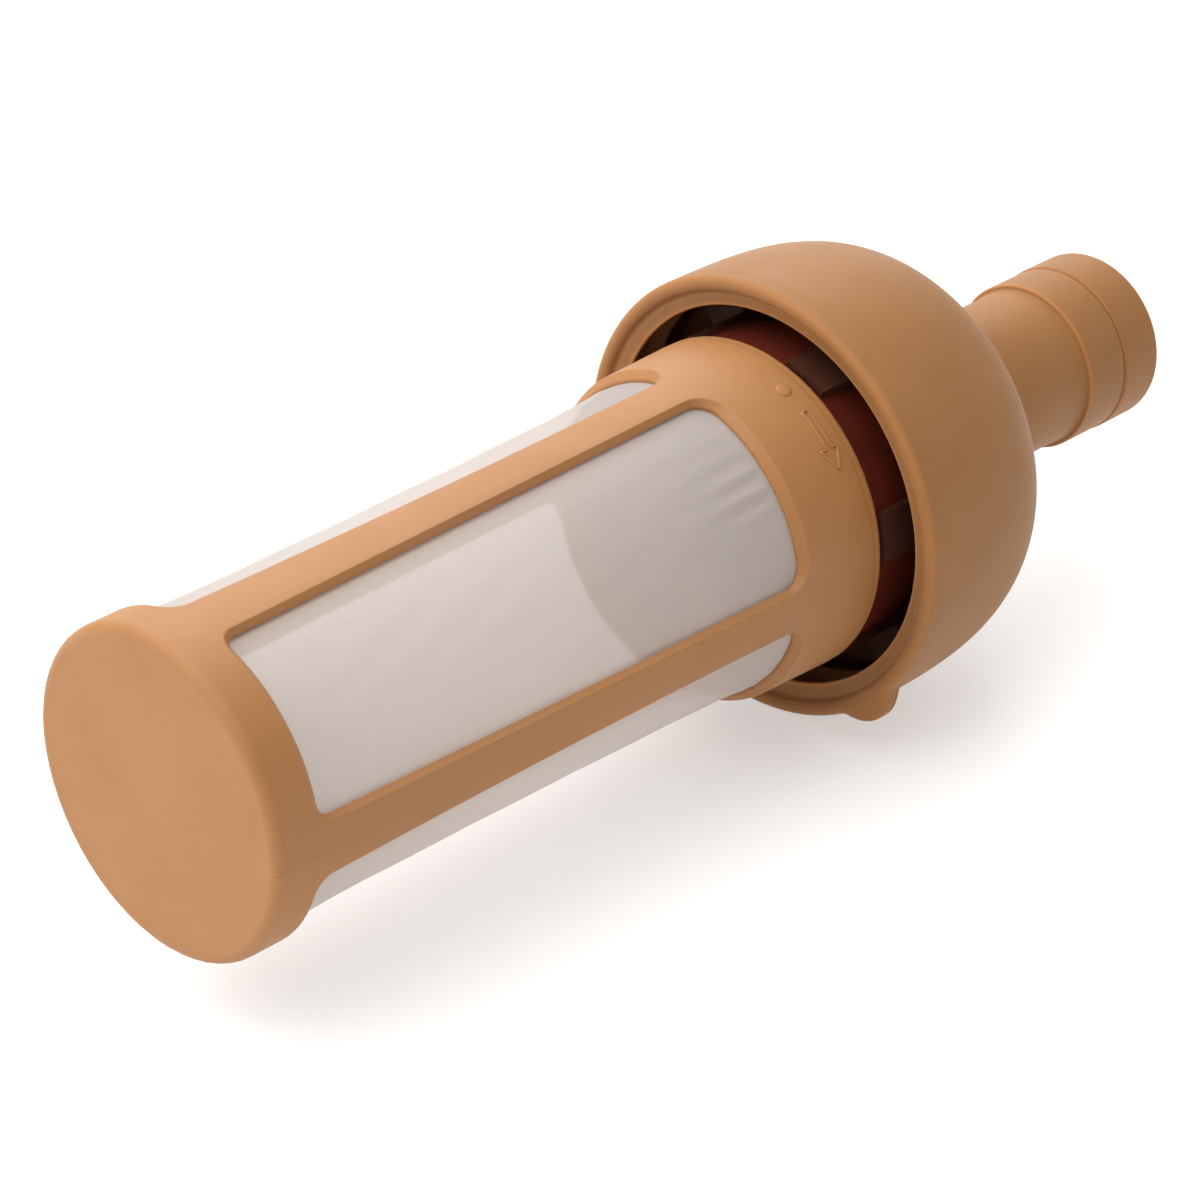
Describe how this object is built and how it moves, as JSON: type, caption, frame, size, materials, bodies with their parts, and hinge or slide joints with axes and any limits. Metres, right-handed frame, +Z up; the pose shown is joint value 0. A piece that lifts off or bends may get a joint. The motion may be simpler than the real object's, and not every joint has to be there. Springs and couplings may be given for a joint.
{
  "type": "coffee strainer with pouring spout",
  "caption": "Long mesh-walled coffee strainer that twist-locks into a domed silicone pouring spout with a finish band, a grip tab and a plug stopper.",
  "frame": {"origin": "on the long axis, in the plane of the spout's rim, where the bottle's mouth snaps in", "axes": "+X along the axis from the strainer's closed end to the stopper, +Z up with the object lying on its side"},
  "size_m": [0.2359, 0.084, 0.084],
  "materials": {
    "silicone": "matte caramel silicone",
    "frame_plastic": "satin moulded caramel polypropylene",
    "holder_plastic": "satin moulded brown polypropylene",
    "mesh": "fine plain-woven white polyester mesh"
  },
  "bodies": {
    "spout": {"spout_shell": "silicone", "strainer_holder": "holder_plastic"},
    "plug": {"stopper": "silicone"},
    "strainer": {"strainer_frame": "frame_plastic", "strainer_mesh": "mesh"}
  },
  "joints": [
    {"name": "stopper_lift", "type": "slide", "parent": "spout", "child": "plug", "axis": [1, 0, 0], "range_m": [0, 0.03]},
    {"name": "strainer_twist", "type": "hinge", "parent": "spout", "child": "strainer", "pos_m": [0, 0, 0], "axis": [1, 0, 0], "range_deg": [-40, 0]}
  ]
}
